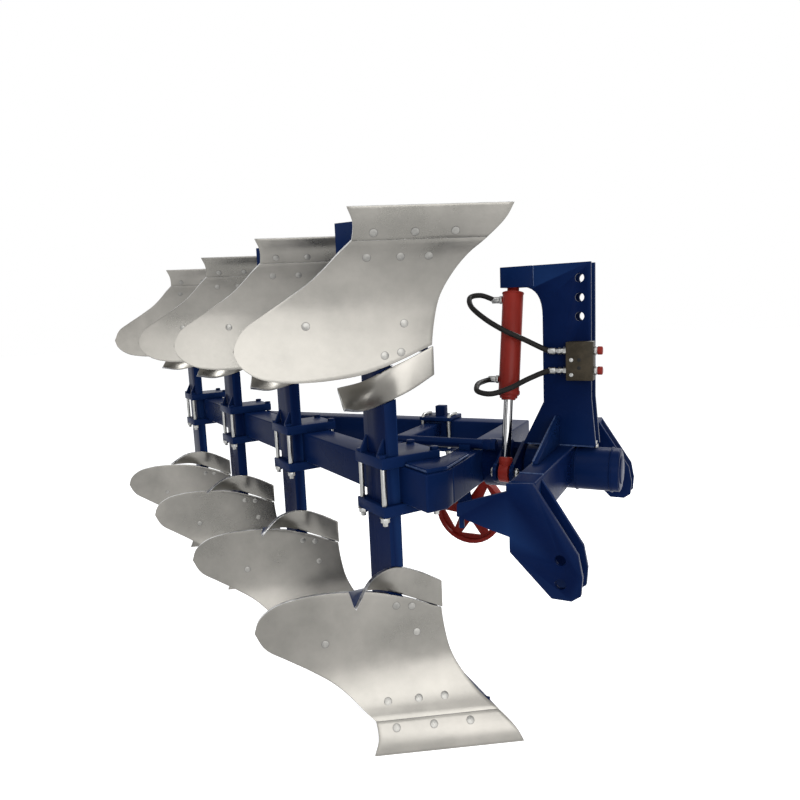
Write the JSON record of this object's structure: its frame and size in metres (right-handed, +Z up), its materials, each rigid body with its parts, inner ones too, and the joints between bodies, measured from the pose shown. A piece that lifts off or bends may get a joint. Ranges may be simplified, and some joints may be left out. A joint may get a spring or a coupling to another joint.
{
  "type": "reversible mouldboard plough",
  "caption": "Mounted turnover plough: hitch headstock with mast and cylinder, angled beam, and pairs of curved steel bodies above and below it, with a side wheel.",
  "frame": {"origin": "on the ground, at the middle of the bounding box's footprint", "axes": "+X forward along the turnover axis, towards the tractor; +Y left; +Z up"},
  "size_m": [3.0162, 1.7842, 1.7],
  "materials": {
    "blue_paint": "semi-gloss deep navy blue",
    "red_paint": "semi-gloss dark red",
    "bare_steel": "ground bare steel, soft sheen",
    "chrome": "hard chrome",
    "dark_metal": "dark bronze-grey valve body",
    "hose_rubber": "matt black hose cover"
  },
  "bodies": {
    "headstock": {"crossbeam": "blue_paint", "turnover_hub": "blue_paint", "mast_plate_left": "blue_paint", "mast_plate_right": "blue_paint", "cylinder_bracket": "blue_paint", "mast_gusset_left": "blue_paint", "mast_gusset_right": "blue_paint", "hitch_inner_left": "blue_paint", "hitch_inner_right": "blue_paint", "hitch_outer_left": "blue_paint", "hitch_outer_right": "blue_paint", "valve_block": "dark_metal", "hose_upper": "hose_rubber", "hose_lower": "hose_rubber"},
    "plough_frame": {"adjuster_strut": "blue_paint", "clamp_1": "blue_paint", "clamp_2": "blue_paint", "clamp_3": "blue_paint", "clamp_4": "blue_paint", "corner_gusset": "blue_paint", "front_cross_tube": "blue_paint", "leg_1": "blue_paint", "leg_2": "blue_paint", "leg_3": "blue_paint", "leg_4": "blue_paint", "main_beam": "blue_paint", "moldboard_lower_1": "bare_steel", "moldboard_lower_2": "bare_steel", "moldboard_lower_3": "bare_steel", "moldboard_lower_4": "bare_steel", "moldboard_upper_1": "bare_steel", "moldboard_upper_2": "bare_steel", "moldboard_upper_3": "bare_steel", "moldboard_upper_4": "bare_steel", "rear_cross_tube": "blue_paint", "share_lower_1": "bare_steel", "share_lower_2": "bare_steel", "share_lower_3": "bare_steel", "share_lower_4": "bare_steel", "share_upper_1": "bare_steel", "share_upper_2": "bare_steel", "share_upper_3": "bare_steel", "share_upper_4": "bare_steel", "side_beam": "blue_paint", "trashboard_lower_1": "bare_steel", "trashboard_lower_2": "bare_steel", "trashboard_lower_3": "bare_steel", "trashboard_lower_4": "bare_steel", "trashboard_upper_1": "bare_steel", "trashboard_upper_2": "bare_steel", "trashboard_upper_3": "bare_steel", "trashboard_upper_4": "bare_steel", "turnover_rotor": "blue_paint", "wheel_bracket": "blue_paint"},
    "cylinder": {"cylinder_barrel": "red_paint"},
    "rod": {"cylinder_rod": "chrome"},
    "wheel_arm": {"wheel_arm": "blue_paint"},
    "wheel": {"depth_wheel": "red_paint"}
  },
  "joints": [
    {"name": "turnover", "type": "hinge", "parent": "headstock", "child": "plough_frame", "pos_m": [1.15815, -0.20614, 0.85], "axis": [-1, 0, 0], "range_deg": [0, 180]},
    {"name": "cylinder_swing", "type": "hinge", "parent": "headstock", "child": "cylinder", "pos_m": [1.15815, -0.20614, 1.49], "axis": [1, 0, 0], "range_deg": [0, 24.69]},
    {"name": "rod_slide", "type": "slide", "parent": "cylinder", "child": "rod", "axis": [0, -0.2137, -0.9769], "range_m": [-0.155, 0]},
    {"name": "wheel_swing", "type": "hinge", "parent": "plough_frame", "child": "wheel_arm", "pos_m": [0.66015, 0.37786, 0.85], "axis": [0, -1, 0], "range_deg": [0, 157]},
    {"name": "wheel_spin", "type": "hinge", "parent": "wheel_arm", "child": "wheel", "pos_m": [0.74009, 0.42786, 0.45705], "axis": [0, 1, 0], "continuous": true}
  ],
  "couplings": [
    {"joint": "cylinder_swing", "follows": "turnover", "ratio": 0.1371}
  ]
}
